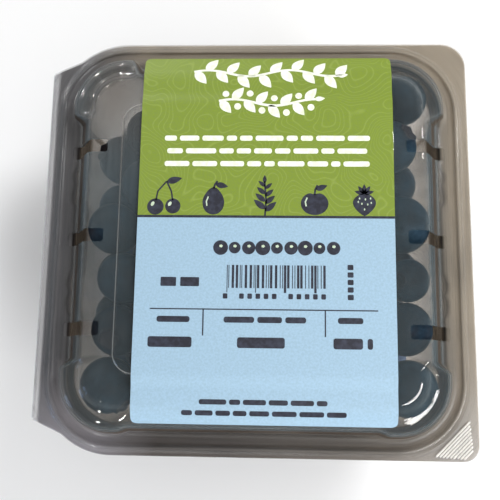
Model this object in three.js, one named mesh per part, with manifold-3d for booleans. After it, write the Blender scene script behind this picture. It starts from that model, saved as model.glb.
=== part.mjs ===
// A clear hinged punnet of blueberries, shut: a thermoformed tray, a lid with vent slots that turns on its
// left edge, the heap of berries inside and the paper label stuck on the lid.
// Millimetres, +Z up, +X away from the hinge, -Y towards the front. The origin is under the middle, on the
// floor.
import * as THREE from "three";
import { mergeVertices } from "three/addons/utils/BufferGeometryUtils.js";
import Module from "manifold-3d";

const wasm = await Module();
wasm.setup();

// Driving dimensions
const FLANGE_HALF_X = 69.4; // half the flange's width, hinge strip included
const FLANGE_HALF_Y = 68; // half the flange's depth
const BACK_CORNER_R = 8; // the back corner away from the hinge
const FRONT_CORNER_R = 5; // the front corner away from the hinge, which a thumb lifts
const HINGE_HALF_LENGTH = 57.7; // the hinge strip runs this far each way along Y
const CORE_HALF = 44; // every ring is this square, pushed out by its radius
const SHEET = 0.6; // thickness of the clear sheet
const GAP = 0.3; // air between pieces that touch
const TRAY_HEIGHT = 34; // floor to the top of the tray's flange
const LID_RISE = 9; // lid's flange to its top
const PANEL_RISE = 0.8; // raised panel under the label
const BEAD_RISE = 1; // closing bead that runs round both flanges
const EAR_END = 40; // the corners stand fuller than the sides from here on
const EAR_BLEND = 1.2; // half the length over which a side turns into a corner
const FLARE_ANGLE = 0.84; // radians of the arc beside the hinge that the straight run to its end replaces
const FLANGE_OVERHANG = 34; // the sheet's reach before the flange is cut to its outline
const PANEL_HALF = 42.6; // half the raised panel's size
const PANEL_CORNER_R = 6;
const FLOOR_RISE = 1.9; // middle of the tray's floor, over its rim

const LID_FLANGE_TOP = TRAY_HEIGHT + GAP + SHEET;
const LID_TOP = LID_FLANGE_TOP + LID_RISE;

// Vent slots, three a side, cut through the lid's shoulders and the tray's lower edges
const SLOT_PITCH = 29.3;
const SLOT_WIDTH = 4.4;
const SLOT_CORNER_R = 0.8;
const LID_SLOT_INNER = 47.6;
const LID_SLOT_OUTER = 61.4;
const TRAY_SLOT_INNER = 44;
const TRAY_SLOT_OUTER = 52.2;
const TRAY_SLOT_TOP = 6;

// Grip ribs, across the front corner away from the hinge, where a thumb lifts the lid
const GRIP_COUNT = 5;
const GRIP_PITCH = 1.5;
const GRIP_NEAREST = 24.4; // from the corner of the core square to the first rib
const GRIP_LENGTH = 15.5; // the first rib's
const GRIP_SHORTENING = 2.6; // from each rib to the next one out
const GRIP_WIDTH = 0.7;
const GRIP_HEIGHT = 0.8; // of the whole rib, partly sunk in the sheet
const GRIP_RISE = 0.5; // over the sheet

// Paper label
const LABEL_WIDTH = 80;
const LABEL_MIDDLE_X = 3.3; // it was stuck on a little to the right
const LABEL_SHEET = 0.3;
const LABEL_FRONT = -57.6;
const LABEL_BACK = 59.6;

// Berries
const BERRY_R_SMALL = 6.9;
const BERRY_R_LARGE = 9.1;
const BERRY_SQUASH = 0.9; // height over width
const BERRY_SEED = 20117;

const clearPlastic = { roughness: 0.12, metalness: 0, transparent: true, opacity: 0.35 };

// Stations around a ring: each has the corner or side of the core square it stands on, its outward normal
// and how much of a corner's full section it takes. The left and right sides are let in, the back a little
// deeper, the front least.
const CORNER_ANGLES = [0, 15, 30, 45, 60, 75, 90];
const SIDE_STATIONS = [-EAR_END - EAR_BLEND, -EAR_END + EAR_BLEND, EAR_END - EAR_BLEND, EAR_END + EAR_BLEND];
const SIDE_FULLNESS = [0, -0.25, 0, 0.7]; // right, back, left, front

function ringStations() {
  const stations = [];
  SIDE_FULLNESS.forEach((sideFullness, quarter) => {
    const turn = (quarter * Math.PI) / 2;
    const spin = (x, y) => [x * Math.cos(turn) - y * Math.sin(turn), x * Math.sin(turn) + y * Math.cos(turn)];
    for (const along of SIDE_STATIONS) {
      const fullness = Math.abs(along) > EAR_END ? 1 : sideFullness;
      stations.push({ core: spin(CORE_HALF, along), normal: spin(1, 0), fullness });
    }
    for (const degrees of CORNER_ANGLES) {
      const angle = (degrees * Math.PI) / 180;
      stations.push({
        core: spin(CORE_HALF, CORE_HALF),
        normal: spin(Math.cos(angle), Math.sin(angle)),
        fullness: 1,
      });
    }
  });
  return stations;
}

const STATIONS = ringStations();

// One ring of a thermoformed sheet: [reach, height] in a corner (ear) and along a side, with core the
// half-size of the square that it is pushed out from.
const ring = (ear, side = ear, core = CORE_HALF) => ({ ear, side, core });

// A closed sheet of even thickness, hanging below the rings, from the outermost one in to its middle.
function sheetSolid(rings, thickness) {
  const n = STATIONS.length;
  const near = [];
  const far = [];
  for (const { core, normal, fullness } of STATIONS) {
    const mix = (ear, side, share) => ear * share + side * (1 - share);
    const along = Math.max(Math.abs(core[0] * normal[0]), Math.abs(core[1] * normal[1])) / CORE_HALF;
    const section = rings.map((r) => ({
      scale: r.core / CORE_HALF,
      reach: mix(r.ear[0], r.side[0], fullness),
      z: mix(r.ear[1], r.side[1], Math.max(fullness, 0)),
    }));
    for (const p of section) p.r = p.scale * CORE_HALF * along + p.reach;
    const place = (p, outward, up) => [
      core[0] * p.scale + normal[0] * (p.reach + outward),
      core[1] * p.scale + normal[1] * (p.reach + outward),
      p.z + up,
    ];
    near.push(section.map((p) => place(p, 0, 0)));
    far.push(
      section.map((p, i) => {
        if (i === 0) return place(p, 0, -thickness);
        const before = new THREE.Vector2(p.r - section[i - 1].r, p.z - section[i - 1].z).normalize();
        const last = i === section.length - 1;
        const after = last
          ? new THREE.Vector2(-1, 0)
          : new THREE.Vector2(section[i + 1].r - p.r, section[i + 1].z - p.z).normalize();
        const inward = new THREE.Vector2(-before.y - after.y, before.x + after.x).normalize();
        const share = Math.max(0.5, inward.y * before.x - inward.x * before.y);
        return place(p, (inward.x * thickness) / share, (inward.y * thickness) / share);
      }),
    );
  }
  const rows = rings.length;
  const position = [...near.flat(2), ...far.flat(2)];
  const index = [];
  const at = (surface, s, k) => surface * n * rows + (s % n) * rows + k;
  for (let s = 0; s < n; s++) {
    for (let k = 0; k + 1 < rows; k++) {
      index.push(at(0, s, k), at(0, s + 1, k), at(0, s, k + 1));
      index.push(at(0, s + 1, k), at(0, s + 1, k + 1), at(0, s, k + 1));
      index.push(at(1, s, k), at(1, s, k + 1), at(1, s + 1, k));
      index.push(at(1, s + 1, k), at(1, s, k + 1), at(1, s + 1, k + 1));
    }
    index.push(at(0, s, 0), at(1, s, 0), at(0, s + 1, 0));
    index.push(at(0, s + 1, 0), at(1, s, 0), at(1, s + 1, 0));
  }
  for (const surface of [0, 1]) {
    const middle = position.length / 3;
    position.push(0, 0, position[at(surface, 0, rows - 1) * 3 + 2]);
    for (let s = 0; s < n; s++) {
      const edge = [at(surface, s, rows - 1), at(surface, s + 1, rows - 1)];
      if (surface) edge.reverse();
      index.push(...edge, middle);
    }
  }
  const geometry = new THREE.BufferGeometry();
  geometry.setAttribute("position", new THREE.Float32BufferAttribute(position, 3));
  geometry.setIndex(index);
  return solidFrom(geometry);
}

// The outline that both flanges are cut to: rounded corners on the right, and on the left arcs that follow
// the ears round and then run out straight to the ends of the hinge strip.
function flangePrism() {
  const shape = new THREE.Shape();
  const corner = (r, way) => [FLANGE_HALF_X - r, way * (FLANGE_HALF_Y - r), r];
  const quarter = Math.PI / 2;
  shape.moveTo(-FLANGE_HALF_X, HINGE_HALF_LENGTH);
  shape.lineTo(-FLANGE_HALF_X, -HINGE_HALF_LENGTH);
  shape.absarc(-CORE_HALF, -CORE_HALF, FLANGE_HALF_Y - CORE_HALF, 2 * quarter + FLARE_ANGLE, 3 * quarter);
  shape.absarc(...corner(FRONT_CORNER_R, -1), -quarter, 0);
  shape.absarc(...corner(BACK_CORNER_R, 1), 0, quarter);
  shape.absarc(-CORE_HALF, CORE_HALF, FLANGE_HALF_Y - CORE_HALF, quarter, 2 * quarter - FLARE_ANGLE);
  const prism = new THREE.ExtrudeGeometry(shape, { depth: 100, bevelEnabled: false, curveSegments: 6 });
  return solidFrom(prism.translate(0, 0, -20));
}

const FLANGE_PRISM = flangePrism();

// A closed section of [reach, height] points carried round every station: the tray's half of the bead.
function bandSolid(section) {
  const m = section.length;
  const n = STATIONS.length;
  const position = [];
  const index = [];
  STATIONS.forEach(({ core, normal }, s) => {
    for (const [reach, z] of section) {
      position.push(core[0] + normal[0] * reach, core[1] + normal[1] * reach, z);
    }
    const here = s * m;
    const next = ((s + 1) % n) * m;
    for (let k = 0; k < m; k++) {
      const up = (k + 1) % m;
      index.push(here + k, next + k, here + up, next + k, next + up, here + up);
    }
  });
  const geometry = new THREE.BufferGeometry();
  geometry.setAttribute("position", new THREE.Float32BufferAttribute(position, 3));
  geometry.setIndex(index);
  return solidFrom(geometry);
}

function solidFrom(geometry) {
  const plain = geometry.clone();
  plain.deleteAttribute("normal");
  plain.deleteAttribute("uv");
  const merged = mergeVertices(plain, 1e-4);
  return new wasm.Manifold(
    new wasm.Mesh({
      numProp: 3,
      vertProperties: new Float32Array(merged.attributes.position.array),
      triVerts: new Uint32Array(merged.index.array),
    }),
  );
}

function geometryFrom(solid) {
  const mesh = solid.getMesh();
  const geometry = new THREE.BufferGeometry();
  geometry.setAttribute("position", new THREE.BufferAttribute(new Float32Array(mesh.vertProperties), 3));
  geometry.setIndex(new THREE.BufferAttribute(new Uint32Array(mesh.triVerts), 1));
  geometry.computeVertexNormals();
  return geometry;
}

// Six upright prisms that cut the vent slots through both sides.
function slotCutters(inner, outer, low, high) {
  const half = SLOT_WIDTH / 2;
  const r = SLOT_CORNER_R;
  const cutters = [];
  for (const side of [-1, 1]) {
    for (const place of [-1, 0, 1]) {
      const shape = new THREE.Shape();
      shape.moveTo(inner + r, -half);
      shape.lineTo(outer - r, -half);
      shape.absarc(outer - r, -half + r, r, -Math.PI / 2, 0);
      shape.absarc(outer - r, half - r, r, 0, Math.PI / 2);
      shape.absarc(inner + r, half - r, r, Math.PI / 2, Math.PI);
      shape.absarc(inner + r, -half + r, r, Math.PI, (3 * Math.PI) / 2);
      const settings = { depth: high - low, bevelEnabled: false, curveSegments: 2 };
      const prism = new THREE.ExtrudeGeometry(shape, settings);
      if (side < 0) prism.rotateZ(Math.PI);
      prism.translate(0, place * SLOT_PITCH, low);
      cutters.push(solidFrom(prism));
    }
  }
  return cutters;
}

function gripRibs() {
  const ribs = [];
  for (let i = 0; i < GRIP_COUNT; i++) {
    const rib = new THREE.BoxGeometry(GRIP_WIDTH, GRIP_LENGTH - GRIP_SHORTENING * i, GRIP_HEIGHT);
    rib.translate(GRIP_NEAREST + i * GRIP_PITCH, 0, LID_FLANGE_TOP + GRIP_RISE - GRIP_HEIGHT / 2);
    rib.rotateZ(-Math.PI / 4);
    rib.translate(CORE_HALF, -CORE_HALF, 0);
    ribs.push(solidFrom(rib));
  }
  return ribs;
}

function lidSolid() {
  const base = LID_FLANGE_TOP;
  const top = LID_TOP;
  const rings = [
    ring([FLANGE_OVERHANG, base]),
    ring([23.1, base]),
    ring([22.3, base + BEAD_RISE]),
    ring([20.7, base + BEAD_RISE]),
    ring([19.9, base]),
    ring([17.6, base], [14.7, base]),
    ring([17, top - 6.2], [13.4, top - 6.6]),
    ring([16.2, top - 4], [12, top - 4]),
    ring([15, top - 3], [11.2, top - 2.4]),
    ring([13, top - 2.6], [10.4, top - 1.1]),
    ring([10.2, top - 2.3], [9.6, top - 0.35]),
    ring([8.8, top - 0.9], [8.8, top - 0.05]),
    ring([7.2, top]),
    ring([PANEL_CORNER_R + 0.6, top], undefined, PANEL_HALF - PANEL_CORNER_R),
    ring([PANEL_CORNER_R, top + PANEL_RISE], undefined, PANEL_HALF - PANEL_CORNER_R),
  ];
  let solid = sheetSolid(rings, SHEET).intersect(FLANGE_PRISM);
  const cutters = slotCutters(LID_SLOT_INNER, LID_SLOT_OUTER, base - SHEET - 0.1, top + 1);
  for (const cutter of cutters) solid = solid.subtract(cutter);
  for (const rib of gripRibs()) solid = solid.add(rib);
  return solid;
}

// Inside of the tray's wall at a height, along a side and in a corner.
const TRAY_WALL = [
  { z: TRAY_HEIGHT - 1.2, core: 44, ear: 16.2, side: 15.8 },
  { z: 28, core: 43.4, ear: 15.6, side: 13.9 },
  { z: 6, core: 41.2, ear: 13.2, side: 11.6 },
  { z: 2.4, core: 40.8, ear: 12.2, side: 10.8 },
];

function traySolid() {
  const top = TRAY_HEIGHT;
  const rings = [
    ring([FLANGE_OVERHANG, top]),
    ring([17, top], [16.6, top]),
    ...TRAY_WALL.map((w) => ring([w.ear, w.z], [w.side, w.z], w.core)),
    ring([10.6, 1], [9.6, 1], 40.5),
    ring([8.6, SHEET], [7.8, SHEET], 40.3),
    ring([5.6, SHEET], [5.2, SHEET], 40),
    ring([4.2, FLOOR_RISE], [4, FLOOR_RISE], 39.8),
  ];
  const bead = [[22, -0.3], [22, 0.1], [21.8, 0.9], [21.2, 0.9], [21, 0.1], [21, -0.3]];
  let solid = sheetSolid(rings, SHEET).intersect(FLANGE_PRISM);
  solid = solid.add(bandSolid(bead.map(([reach, up]) => [reach, top + up])));
  const cutters = slotCutters(TRAY_SLOT_INNER, TRAY_SLOT_OUTER, -2, TRAY_SLOT_TOP);
  for (const cutter of cutters) solid = solid.subtract(cutter);
  return solid;
}

// The label bends one way only, as paper does: flat on the raised panel, then down over the front and back
// shoulders.
function labelSolid() {
  const panel = LID_TOP + PANEL_RISE + GAP;
  const shoulder = LID_TOP + GAP;
  const line = [
    [LABEL_FRONT, shoulder - 2.1],
    [-55.6, shoulder - 1],
    [-53.4, shoulder - 0.2],
    [-51.2, shoulder],
    [-46.4, shoulder + 0.1],
    [-43.6, panel],
    [43.6, panel],
    [46.4, shoulder + 0.1],
    [51.4, shoulder],
    [54.2, shoulder - 0.4],
    [57, shoulder - 1.6],
    [LABEL_BACK, shoulder - 2.5],
  ];
  const shape = new THREE.Shape();
  line.forEach(([y, z], i) => (i ? shape.lineTo(y, z) : shape.moveTo(y, z)));
  [...line].reverse().forEach(([y, z]) => shape.lineTo(y, z + LABEL_SHEET));
  const strip = new THREE.ExtrudeGeometry(shape, { depth: LABEL_WIDTH, bevelEnabled: false });
  // The shape is drawn in (Y, Z) and runs along X.
  strip.applyMatrix4(new THREE.Matrix4().makeBasis(
    new THREE.Vector3(0, 1, 0),
    new THREE.Vector3(0, 0, 1),
    new THREE.Vector3(1, 0, 0),
  ));
  strip.translate(LABEL_MIDDLE_X - LABEL_WIDTH / 2, 0, 0);
  return solidFrom(strip);
}

// Berries that lie against the lid down both sides, in plain view: [x, y, radius]. None lie in the back left
// corner.
const TOP_BERRIES = [
  [48.2, 48.4, 8.3],
  [43.8, 31.8, 9],
  [47, 5.8, 9.5],
  [48.4, -12.6, 7],
  [47.7, -28, 8.6],
  [48.6, -46.4, 9.3],
  [-46.4, -46.6, 9],
  [-43.6, -29.4, 8.4],
  [-42.8, -12.6, 8.4],
  [-46.2, 3.6, 8.6],
  [-36.6, 19, 8],
  [-35.4, 36, 8.4],
];
// The rest are shaken down from loose grids: how many a row, height, and half the grid's width and depth.
const LAYERS = [
  { count: 6, z: 10, halfX: 42, halfY: 42 },
  { count: 6, z: 22, halfX: 45, halfY: 45 },
  { count: 5, z: 34, halfX: 28, halfY: 49 },
];
const TOP_LAYER_FROM = 28; // berries whose middle is above this are rounder, as they show most
const PLAIN_GROWTH = 1.05; // the lower ones have twelve faces, and this brings them to a round one's volume
const TURN_PER_RADIUS = 9; // turns each berry's facets another way
const SETTLE_STEPS = 160;
const SINK = 0.06; // a berry sinks this far each step
const SINK_SHARE = 0.8; // of the steps; in the rest the berries only push apart
const JITTER = 3;
const BERRY_FLOOR = 2.6;
const BERRY_CEILING = LID_TOP - SHEET - 0.6;
const EAR_DROP = 2.2; // the lid is this much lower over its corners
const WALL_CLEAR = 0.9; // keeps a berry off the sheet
const EMPTY_CORNER = { x: -56, y: 58, r: 21 }; // no berry lies within r of this point near the back left tip

function makeRandom(seed) {
  let state = seed;
  return () => {
    state = (state * 16807) % 2147483647;
    return state / 2147483647;
  };
}

const fromEmptyCorner = (x, y) => Math.hypot(x - EMPTY_CORNER.x, y - EMPTY_CORNER.y);

const ceilingAt = (x, y) => BERRY_CEILING - (Math.abs(x) > EAR_END && Math.abs(y) > EAR_END ? EAR_DROP : 0);

function looseBerries() {
  const random = makeRandom(BERRY_SEED);
  const underLid = (x, y, r) => ({ x, y, z: ceilingAt(x, y) - r * BERRY_SQUASH, r, fixed: true });
  const berries = TOP_BERRIES.map((place) => underLid(...place));
  for (const layer of LAYERS) {
    const rows = Math.round((layer.count * layer.halfY) / layer.halfX);
    for (let i = 0; i < layer.count; i++) {
      for (let j = 0; j < rows; j++) {
        const berry = {
          x: layer.halfX * ((2 * i) / (layer.count - 1) - 1) + JITTER * (random() - 0.5),
          y: layer.halfY * ((2 * j) / (rows - 1) - 1) + JITTER * (random() - 0.5),
          z: layer.z + JITTER * (random() - 0.5),
          r: BERRY_R_SMALL + (BERRY_R_LARGE - BERRY_R_SMALL) * random(),
          fixed: false,
        };
        if (fromEmptyCorner(berry.x, berry.y) > EMPTY_CORNER.r) berries.push(berry);
      }
    }
  }
  return berries;
}

function settleBerries() {
  const berries = looseBerries();
  for (let step = 0; step < SETTLE_STEPS; step++) {
    for (const b of berries) if (!b.fixed && step < SETTLE_STEPS * SINK_SHARE) b.z -= SINK;
    for (let i = 0; i < berries.length; i++) {
      for (let j = i + 1; j < berries.length; j++) pushApart(berries[i], berries[j]);
    }
    for (const b of berries) if (!b.fixed) keepInside(b);
  }
  return berries;
}

function pushApart(a, b) {
  const dx = b.x - a.x;
  const dy = b.y - a.y;
  const dz = (b.z - a.z) / BERRY_SQUASH;
  const reach = a.r + b.r;
  const squared = dx * dx + dy * dy + dz * dz;
  if (squared >= reach * reach) return;
  const distance = Math.sqrt(squared);
  const push = (reach - distance) / distance;
  const shareA = a.fixed ? 0 : b.fixed ? 1 : 0.5;
  const shareB = b.fixed ? 0 : 1 - shareA;
  a.x -= dx * push * shareA;
  a.y -= dy * push * shareA;
  a.z -= dz * push * shareA * BERRY_SQUASH;
  b.x += dx * push * shareB;
  b.y += dy * push * shareB;
  b.z += dz * push * shareB * BERRY_SQUASH;
}

// Half the width of the space for berries at a height: within the tray's wall, then within the lid's.
function wallHalf(z) {
  const foot = 51.4;
  const rim = 57.6;
  const shoulderSlope = 0.7;
  if (z < TRAY_HEIGHT) return foot + ((rim - foot) * z) / TRAY_HEIGHT;
  return rim - shoulderSlope * (z - TRAY_HEIGHT);
}

function keepInside(b) {
  const tall = b.r * BERRY_SQUASH;
  b.z = Math.min(Math.max(b.z, BERRY_FLOOR + tall), ceilingAt(b.x, b.y) - tall);
  const half = wallHalf(b.z) - WALL_CLEAR - b.r;
  const round = 6;
  b.x = Math.min(Math.max(b.x, -half), half);
  b.y = Math.min(Math.max(b.y, -half), half);
  const overX = Math.abs(b.x) - (half - round);
  const overY = Math.abs(b.y) - (half - round);
  const distance = Math.hypot(overX, overY);
  if (overX > 0 && overY > 0 && distance > round) {
    b.x = Math.sign(b.x) * (half - round + (overX * round) / distance);
    b.y = Math.sign(b.y) * (half - round + (overY * round) / distance);
  }
  const away = fromEmptyCorner(b.x, b.y);
  const wanted = EMPTY_CORNER.r + b.r;
  if (away < wanted) {
    b.x += ((b.x - EMPTY_CORNER.x) * (wanted - away)) / away;
    b.y += ((b.y - EMPTY_CORNER.y) * (wanted - away)) / away;
  }
}

// The middle of the heap, which the berries that show are set into.
function heapCore() {
  const half = 46;
  const low = 9;
  const high = 31;
  const notch = -20; // the empty corner is cut off from here, straight across
  const shape = new THREE.Shape();
  shape.moveTo(-half, -half);
  shape.lineTo(half, -half);
  shape.lineTo(half, half);
  shape.lineTo(notch, half);
  shape.lineTo(-half, -notch);
  const core = new THREE.ExtrudeGeometry(shape, { depth: high - low, bevelEnabled: false });
  return solidFrom(core.translate(0, 0, low));
}

function berriesSolid() {
  let solid = heapCore();
  for (const b of settleBerries()) {
    const berry = b.z > TOP_LAYER_FROM
      ? new THREE.IcosahedronGeometry(b.r, 1)
      : new THREE.DodecahedronGeometry(b.r * PLAIN_GROWTH);
    berry.scale(1, 1, BERRY_SQUASH);
    berry.rotateZ(b.r * TURN_PER_RADIUS);
    berry.translate(b.x, b.y, b.z);
    solid = solid.add(solidFrom(berry));
  }
  const bodies = solid.decompose();
  bodies.sort((a, b) => b.volume() - a.volume());
  return bodies[0];
}

function part(name, solid, colour, look = {}) {
  const plain = { color: new THREE.Color(...colour), roughness: 0.5, metalness: 0 };
  const material = new THREE.MeshStandardMaterial({ ...plain, ...look });
  const mesh = new THREE.Mesh(geometryFrom(solid), material);
  mesh.name = name;
  return mesh;
}

const punnet = new THREE.Group();
punnet.name = "punnet_of_blueberries";
punnet.add(part("tray", traySolid(), [0.62, 0.58, 0.54], clearPlastic));
punnet.add(part("lid", lidSolid(), [0.62, 0.58, 0.54], clearPlastic));
punnet.add(part("berries", berriesSolid(), [0.05, 0.08, 0.15], { roughness: 0.6 }));
punnet.add(part("label", labelSolid(), [0.62, 0.76, 0.86], { roughness: 0.45 }));

export default punnet;
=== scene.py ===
import math

import bmesh
import bpy
import numpy as np
from mathutils import Euler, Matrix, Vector


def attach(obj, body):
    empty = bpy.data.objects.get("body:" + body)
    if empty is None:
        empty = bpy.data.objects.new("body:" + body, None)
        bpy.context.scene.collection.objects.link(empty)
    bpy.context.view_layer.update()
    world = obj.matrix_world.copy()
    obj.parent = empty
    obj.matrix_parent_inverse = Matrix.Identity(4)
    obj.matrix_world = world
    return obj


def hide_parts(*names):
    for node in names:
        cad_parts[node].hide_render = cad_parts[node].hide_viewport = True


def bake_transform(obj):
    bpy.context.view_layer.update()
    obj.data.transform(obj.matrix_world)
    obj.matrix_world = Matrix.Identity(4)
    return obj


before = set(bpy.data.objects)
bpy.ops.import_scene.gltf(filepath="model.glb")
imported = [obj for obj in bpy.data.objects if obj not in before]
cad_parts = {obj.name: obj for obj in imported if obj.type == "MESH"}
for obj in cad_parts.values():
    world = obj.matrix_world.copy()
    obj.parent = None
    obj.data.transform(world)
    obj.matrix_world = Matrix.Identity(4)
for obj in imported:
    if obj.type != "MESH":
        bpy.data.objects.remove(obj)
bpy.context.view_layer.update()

MM = 0.001

# Sheet and flange, as in the frame
FLANGE_HALF_X = 69.4
FLANGE_HALF_Y = 68
BACK_CORNER_R = 8
FRONT_CORNER_R = 5
HINGE_HALF_LENGTH = 57.7
HINGE_EDGE_X = -69.34
FLARE_ANGLE = 0.84
CORE_HALF = 44
EAR_END = 40
EAR_BLEND = 2
SIDE_FULLNESS = [0, -0.25, 0, 0.7]
SHEET = 0.6
GAP = 0.3
TRAY_HEIGHT = 34
LID_FLANGE_TOP = TRAY_HEIGHT + GAP + SHEET
LID_TOP = LID_FLANGE_TOP + 9
PANEL_RISE = 0.8
PANEL_HALF = 42.6
PANEL_CORNER_R = 6
PANEL_CORE = PANEL_HALF - PANEL_CORNER_R
BEAD_RISE = 1
SLOT_PITCH = 29.3
SLOT_WIDTH = 4.4
SLOT_CORNER_R = 0.9
LID_SLOT = (47.6, 61.4)
TRAY_SLOT = (44, 52.2)
TRAY_SLOT_TOP = 6
EDGE_ROWS = 12
HINGE_Z = TRAY_HEIGHT + GAP / 2
HINGE_GROOVE_X = -68.2
HINGE_GROOVE_WIDTH = 0.35
HINGE_GROOVE_DEPTH = 0.4

# Looks of the clear sheets: a haze is the share of what lies behind that one sheet hides, seen straight on
TRAY_FLANGE_HAZE = 0.72
TRAY_WALL_HAZE = 0.024
LID_HAZE = 0.06
LID_FLANGE_HAZE = 0.12
# The grip ribs' pale haze: partly their frosted grain, partly painted highlight for the sparkle on the grip
RIB_FROST_AND_HIGHLIGHT_HAZE = 0.95
HINGE_HAZE = 0.5
# The tray's floor takes a dense dark haze: partly the sheet's own tint, partly painted shade inside the
# punnet
TRAY_FLOOR_HAZE = 0.7
# The tray's upper wall counts as many sheets thick and darkens there: partly its real thickening at the rim,
# partly painted shade under the flange
THICK_RIM = 12
THIN_BELOW = 25.6
THICK_FROM = 28.4
# Colour of the haze inside the tray's flange, darkened as painted shade
TRAY_INSIDE_PAINTED_SHADE = (0.11, 0.1, 0.088)
LID_WALL_HAZE = 0.25
# Flange colours at the back and right, at the front, and along the hinge: painted light and reflection,
# lighter at the back and right, darker at the front, darker and bluer on the hinge side
TRAY_SHADES_AND_PAINTED_LIGHT = ((0.62, 0.55, 0.45), (0.19, 0.16, 0.147), (0.16, 0.165, 0.19))
LID_SHADES_AND_PAINTED_LIGHT = ((0.44, 0.39, 0.32), (0.2, 0.18, 0.17), (0.22, 0.225, 0.245))
# The grip ribs' colours: partly their frosted grain, partly painted highlight
RIB_FROST_AND_PAINTED_HIGHLIGHT = ((0.78, 0.75, 0.71), (0.78, 0.75, 0.71), (0.5, 0.5, 0.5))
LID_INNER_SHADE = (0.28, 0.42, 0.5)
RIB_INNER_SHADE = (0.4, 0.46, 0.46)
TRAY_TINT = (0.975, 0.972, 0.968)
LID_TINT = (0.9, 0.88, 0.86)
RIB_TINT = (0.96, 0.96, 0.96)
WALL_SHADE = (0.1, 0.078, 0.062)
# Painted shade under the flange, on the thick upper wall
UNDER_FLANGE_PAINTED_SHADE = (0.13, 0.105, 0.082)
FLANGE_TINT = (0.93, 0.93, 0.93)
SHEET_IOR = 1.3
MOST_GLOSS = 0.05
LEAST_COSINE = 0.3
# A painted pool of light on the flange's front left corner: its middle and colour
FRONT_LEFT_LIGHT_POOL = (-0.054, -0.06, 0.034)
FRONT_LEFT_PAINTED_LIGHT = (0.52, 0.5, 0.54)
# A painted highlight on the strip along the hinge
HINGE_STRIP_PAINTED_HIGHLIGHT = (0.8, 0.8, 0.82)
# A painted shade line along the rim's bend
RIM_LINE_PAINTED_SHADE = (0.035, 0.03, 0.028)
# Painted highlight on the lid's creases
CREASE_PAINTED_HIGHLIGHT = (0.72, 0.7, 0.66)
# A painted reflection in the lid over the empty back-left corner, laid on as a grey veil: its strength,
# middle, spread and colour
PAINTED_VEIL_HAZE = 0.34
PAINTED_VEIL_X, PAINTED_VEIL_WIDTH = -46, 18
PAINTED_VEIL_Y, PAINTED_VEIL_LENGTH = 48, 30
PAINTED_VEIL_SHADE = (0.16, 0.15, 0.14)

# Low relief on the sheets
FLUTE_PLACES = (-20.6, -14, 15, 21.6)
FLUTE_WIDTH = 2.9
FLUTE_DEPTH = 1.1
FLUTE_FOOT = 22
FLUTE_OUTER = 19.6
FLUTE_FADE = 2
GRIP_FROM = 24.4
GRIP_TO = 31
GRIP_PITCH = 0.8
GRIP_HEIGHT = 0.45
GRIP_LENGTH = 15.5
GRIP_SHORTENING = 1.73
GRIP_STEP = 0.24
GRIP_WIDTH = 0.336
GRIP_SUNK = 0.1

# Label
LABEL_WIDTH = 80
LABEL_MIDDLE_X = 3.3
LABEL_SHEET = 0.3
LABEL_FRONT = -57.6
LABEL_BACK = 59.6
LABEL_CORNER_R = 1.6
GREEN_FROM = 6.1
PRINT_SHEET = 0.02
LABEL_FACE = LABEL_SHEET * 0.8
GREEN = (0.19, 0.268, 0.016)
PALE_GREEN = (0.34, 0.43, 0.09)
BLUE = (0.33, 0.49, 0.63)
REVERSE = (0.7, 0.7, 0.66)

# Berries
SKIN_DARK = (0.0015, 0.004, 0.01)
SKIN_MIDDLE = (0.007, 0.0205, 0.037)
SKIN_LIGHT = (0.021, 0.056, 0.094)
BLOOM = (0.2, 0.29, 0.52)
CALYX_SHADE = (0.022, 0.018, 0.024)
SKIN_GLOSS = 0.16
BERRY_SQUASH = 0.9
SEED = 20117

# Setting: soft lights by name, place, size and power
FLOOR_WHITE = (0.92, 0.92, 0.92, 1)
WORLD_STRENGTH = 0.54
LIGHTS = (
    ("key", (760, 900, 760), (560, 560), 19),
    ("front_right", (400, -440, 280), (430, 90), 2.6),
    ("front_fill", (260, -820, 130), (800, 200), 4.5),
)

# Small lights that show as glints on the lid's corners: azimuth, tilt from upright, width, depth and power
GLINT_DISTANCE = 700
GLINTS = (
    (110, 59, 32, 32, 0.8),
    (127, 60, 32, 32, 0.8),
    (143, 57, 32, 32, 0.8),
    (-126, 39, 30, 30, 0.4),
    (32, 38, 30, 30, 0.4),
    (-34.5, 27, 230, 60, 1.4),
)

# Camera: the photo was taken from nearly straight above, from a little in front
PHOTO_WIDTH = 500
FOCAL_PIXELS = 700
SENSOR = 36
CAMERA_PLACE = (7.54, -41.62, LID_TOP + 213.95)
CAMERA_TURN = (0.1719, 0.0390, 0.0148)


def new_object(name, data):
    obj = bpy.data.objects.new(name, data)
    bpy.context.collection.objects.link(obj)
    return obj


def make_camera():
    data = bpy.data.cameras.new("camera")
    data.sensor_width = SENSOR
    data.lens = SENSOR * FOCAL_PIXELS / PHOTO_WIDTH
    camera = new_object("camera", data)
    camera.location = Vector(CAMERA_PLACE) * MM
    camera.rotation_euler = Euler(CAMERA_TURN, "XYZ")
    bpy.context.scene.camera = camera


# Meshes

def mesh_object(name, vertices, faces, smooth_angle=None):
    mesh = bpy.data.meshes.new(name)
    mesh.from_pydata([tuple(v) for v in np.asarray(vertices) * MM], [], [tuple(f) for f in faces])
    mesh.update()
    obj = new_object(name, mesh)
    if smooth_angle is not None:
        shade_smooth(obj, smooth_angle)
    return obj


def shade_smooth(obj, angle):
    obj.data.shade_smooth()
    obj.data.set_sharp_from_angle(angle=math.radians(angle))


def store(mesh, name, values):
    """Keeps a number for each point, which materials read by this name."""
    mesh.attributes.new(name, "FLOAT", "POINT").data.foreach_set("value", values.astype(np.float32))


def ring_faces(first, rings, n):
    """Faces between rings of n points, the first of which is point number first."""
    starts = range(first, first + (rings - 1) * n, n)
    return [(a + i, a + (i + 1) % n, a + n + (i + 1) % n, a + n + i) for a in starts for i in range(n)]


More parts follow.
